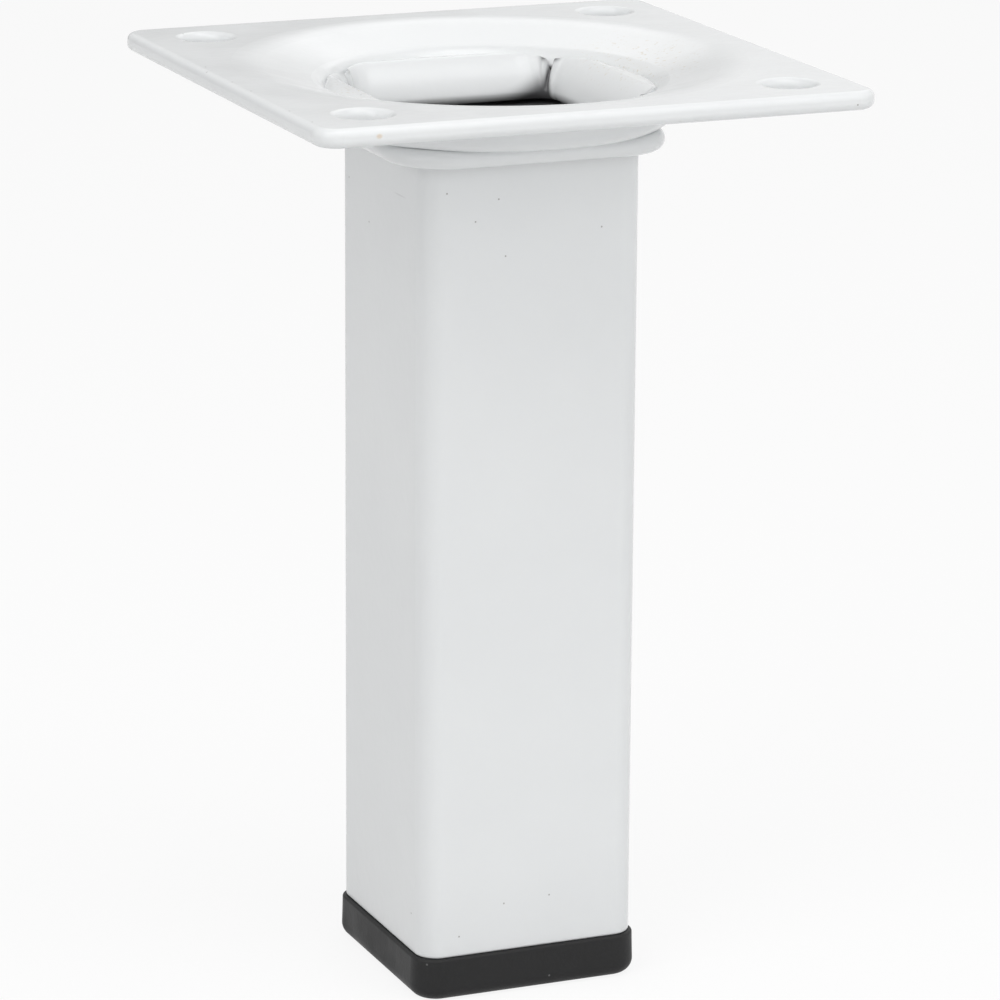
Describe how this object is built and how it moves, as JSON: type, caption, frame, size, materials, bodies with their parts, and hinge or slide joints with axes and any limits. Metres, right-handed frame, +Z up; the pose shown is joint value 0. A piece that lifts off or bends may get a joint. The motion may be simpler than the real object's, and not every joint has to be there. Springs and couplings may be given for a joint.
{
  "type": "square metal table leg",
  "caption": "Short square steel furniture leg with a dished screw-on mounting plate clamped to its bent-over top end and a plastic foot cap pushed into its bottom end.",
  "frame": {"origin": "on the floor, under the middle of the foot cap", "axes": "+Z up along the tube towards the mounting plate, X and Y across the tube's sides"},
  "size_m": [0.0614, 0.0614, 0.1],
  "materials": {
    "white_coat": "glossy white powder coat on steel",
    "black_plastic": "semi-matt black moulded plastic"
  },
  "bodies": {
    "root": {"mounting_plate": "white_coat", "leg_tube": "white_coat", "foot_cap": "black_plastic"}
  },
  "joints": []
}
